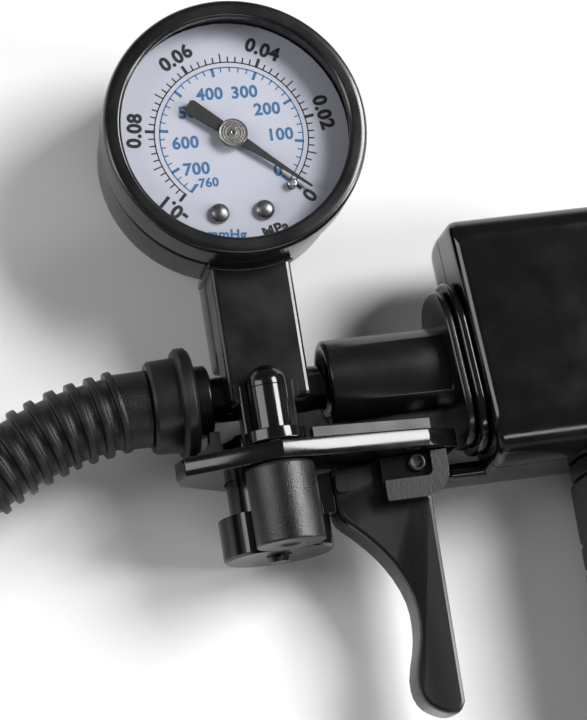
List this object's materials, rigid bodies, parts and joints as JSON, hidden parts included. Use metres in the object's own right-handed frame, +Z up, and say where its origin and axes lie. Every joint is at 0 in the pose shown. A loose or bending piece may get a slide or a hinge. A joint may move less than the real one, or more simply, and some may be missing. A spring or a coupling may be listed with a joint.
{
  "type": "hand vacuum pump",
  "caption": "Pistol-shaped hand vacuum pump with a round dial gauge, a ribbed hose, a release knob and a squeeze trigger on a boxy housing with a handle.",
  "frame": {"origin": "middle of the pump's footprint on the surface it lies on, the hose and its connector left out", "axes": "+X from the hose to the handle, +Y from the trigger towards the gauge, +Z up, away from the surface, the way the dial faces"},
  "size_m": [0.1921, 0.2315, 0.0349],
  "materials": {
    "gloss_black": "gloss moulded black plastic",
    "satin_black": "satin moulded black plastic",
    "grained_black": "coarse-grained moulded black plastic",
    "clear_lens": "clear flat window",
    "dial_white": "pale matt dial with printed scales",
    "pointer_black": "black painted sheet",
    "brass": "turned brass",
    "steel": "bright steel",
    "ivory_plastic": "natural low-friction plastic",
    "rubber": "fine-grained black rubber",
    "connector_black": "satin black plastic",
    "foam": "open-cell foam"
  },
  "bodies": {
    "frame": {"gauge_case": "gloss_black", "gauge_bezel": "gloss_black", "neck_front": "gloss_black", "neck_rear": "gloss_black", "body_plate": "gloss_black", "release_dome": "gloss_black", "dome_flange": "gloss_black", "pump_cylinder": "gloss_black", "housing_front": "gloss_black", "housing_rear": "gloss_black", "housing_flange": "gloss_black", "butt_cap": "gloss_black", "hose_barb": "satin_black", "manifold": "satin_black", "barrel": "satin_black", "barrel_flange": "satin_black", "valve_column": "satin_black", "handle_core": "satin_black", "hose_nut": "grained_black", "trigger_bracket_front": "grained_black", "trigger_bracket_rear": "grained_black", "gauge_lens": "clear_lens", "dial_plate": "dial_white", "movement_plate": "brass", "gauge_socket": "brass", "bourdon_tube": "brass", "movement_link": "brass", "dial_screw_1": "steel", "dial_screw_2": "steel", "stop_pin": "steel", "pivot_pin": "steel", "pin_clip": "steel", "exhaust_tube": "steel", "housing_screw_1": "steel", "housing_screw_2": "steel", "housing_screw_3": "steel", "housing_screw_4": "steel", "butt_screw": "steel", "hose_cuff": "rubber", "hose_tube": "rubber", "grip_sleeve": "rubber", "hose_connector": "connector_black", "exhaust_filter": "foam"},
    "pointer": {"pointer": "pointer_black", "pointer_hub": "steel"},
    "release_knob": {"release_knob": "grained_black", "release_stem": "steel"},
    "crosshead": {"piston": "ivory_plastic", "piston_seal": "rubber", "piston_rod": "steel", "return_spring": "steel", "piston_cup": "gloss_black", "cup_screw": "satin_black"},
    "trigger": {"trigger": "satin_black"},
    "intake_valve": {"intake_valve_disc": "rubber"},
    "exhaust_valve": {"exhaust_valve_disc": "rubber", "exhaust_spring": "steel"}
  },
  "joints": [
    {"name": "trigger_pull", "type": "hinge", "parent": "frame", "child": "trigger", "pos_m": [-0.0068, -0.0058, 0.015], "axis": [0, 0, 1], "range_deg": [0, 20], "stiffness_Nm_per_rad": 0.5},
    {"name": "piston_slide", "type": "slide", "parent": "frame", "child": "crosshead", "axis": [0, -1, 0], "range_m": [0, 0.0065], "deforming": ["return_spring"]},
    {"name": "pointer_turn", "type": "hinge", "parent": "frame", "child": "pointer", "pos_m": [-0.03315, 0.0615, 0.028], "axis": [0, 0, 1], "range_deg": [0, 267]},
    {"name": "knob_turn", "type": "hinge", "parent": "frame", "child": "release_knob", "pos_m": [-0.03435, -0.0116, 0.0283], "axis": [0, 1, 0], "range_deg": [0, 180]},
    {"name": "intake_lift", "type": "slide", "parent": "frame", "child": "intake_valve", "axis": [0, -1, 0], "range_m": [0, 0.0009], "stiffness_N_per_m": 20},
    {"name": "exhaust_lift", "type": "slide", "parent": "frame", "child": "exhaust_valve", "axis": [1, 0, 0], "range_m": [0, 0.0009], "stiffness_N_per_m": 60, "deforming": ["exhaust_spring"]}
  ],
  "couplings": [
    {"joint": "piston_slide", "follows": "trigger_pull", "m_per_rad": 0.0168}
  ]
}
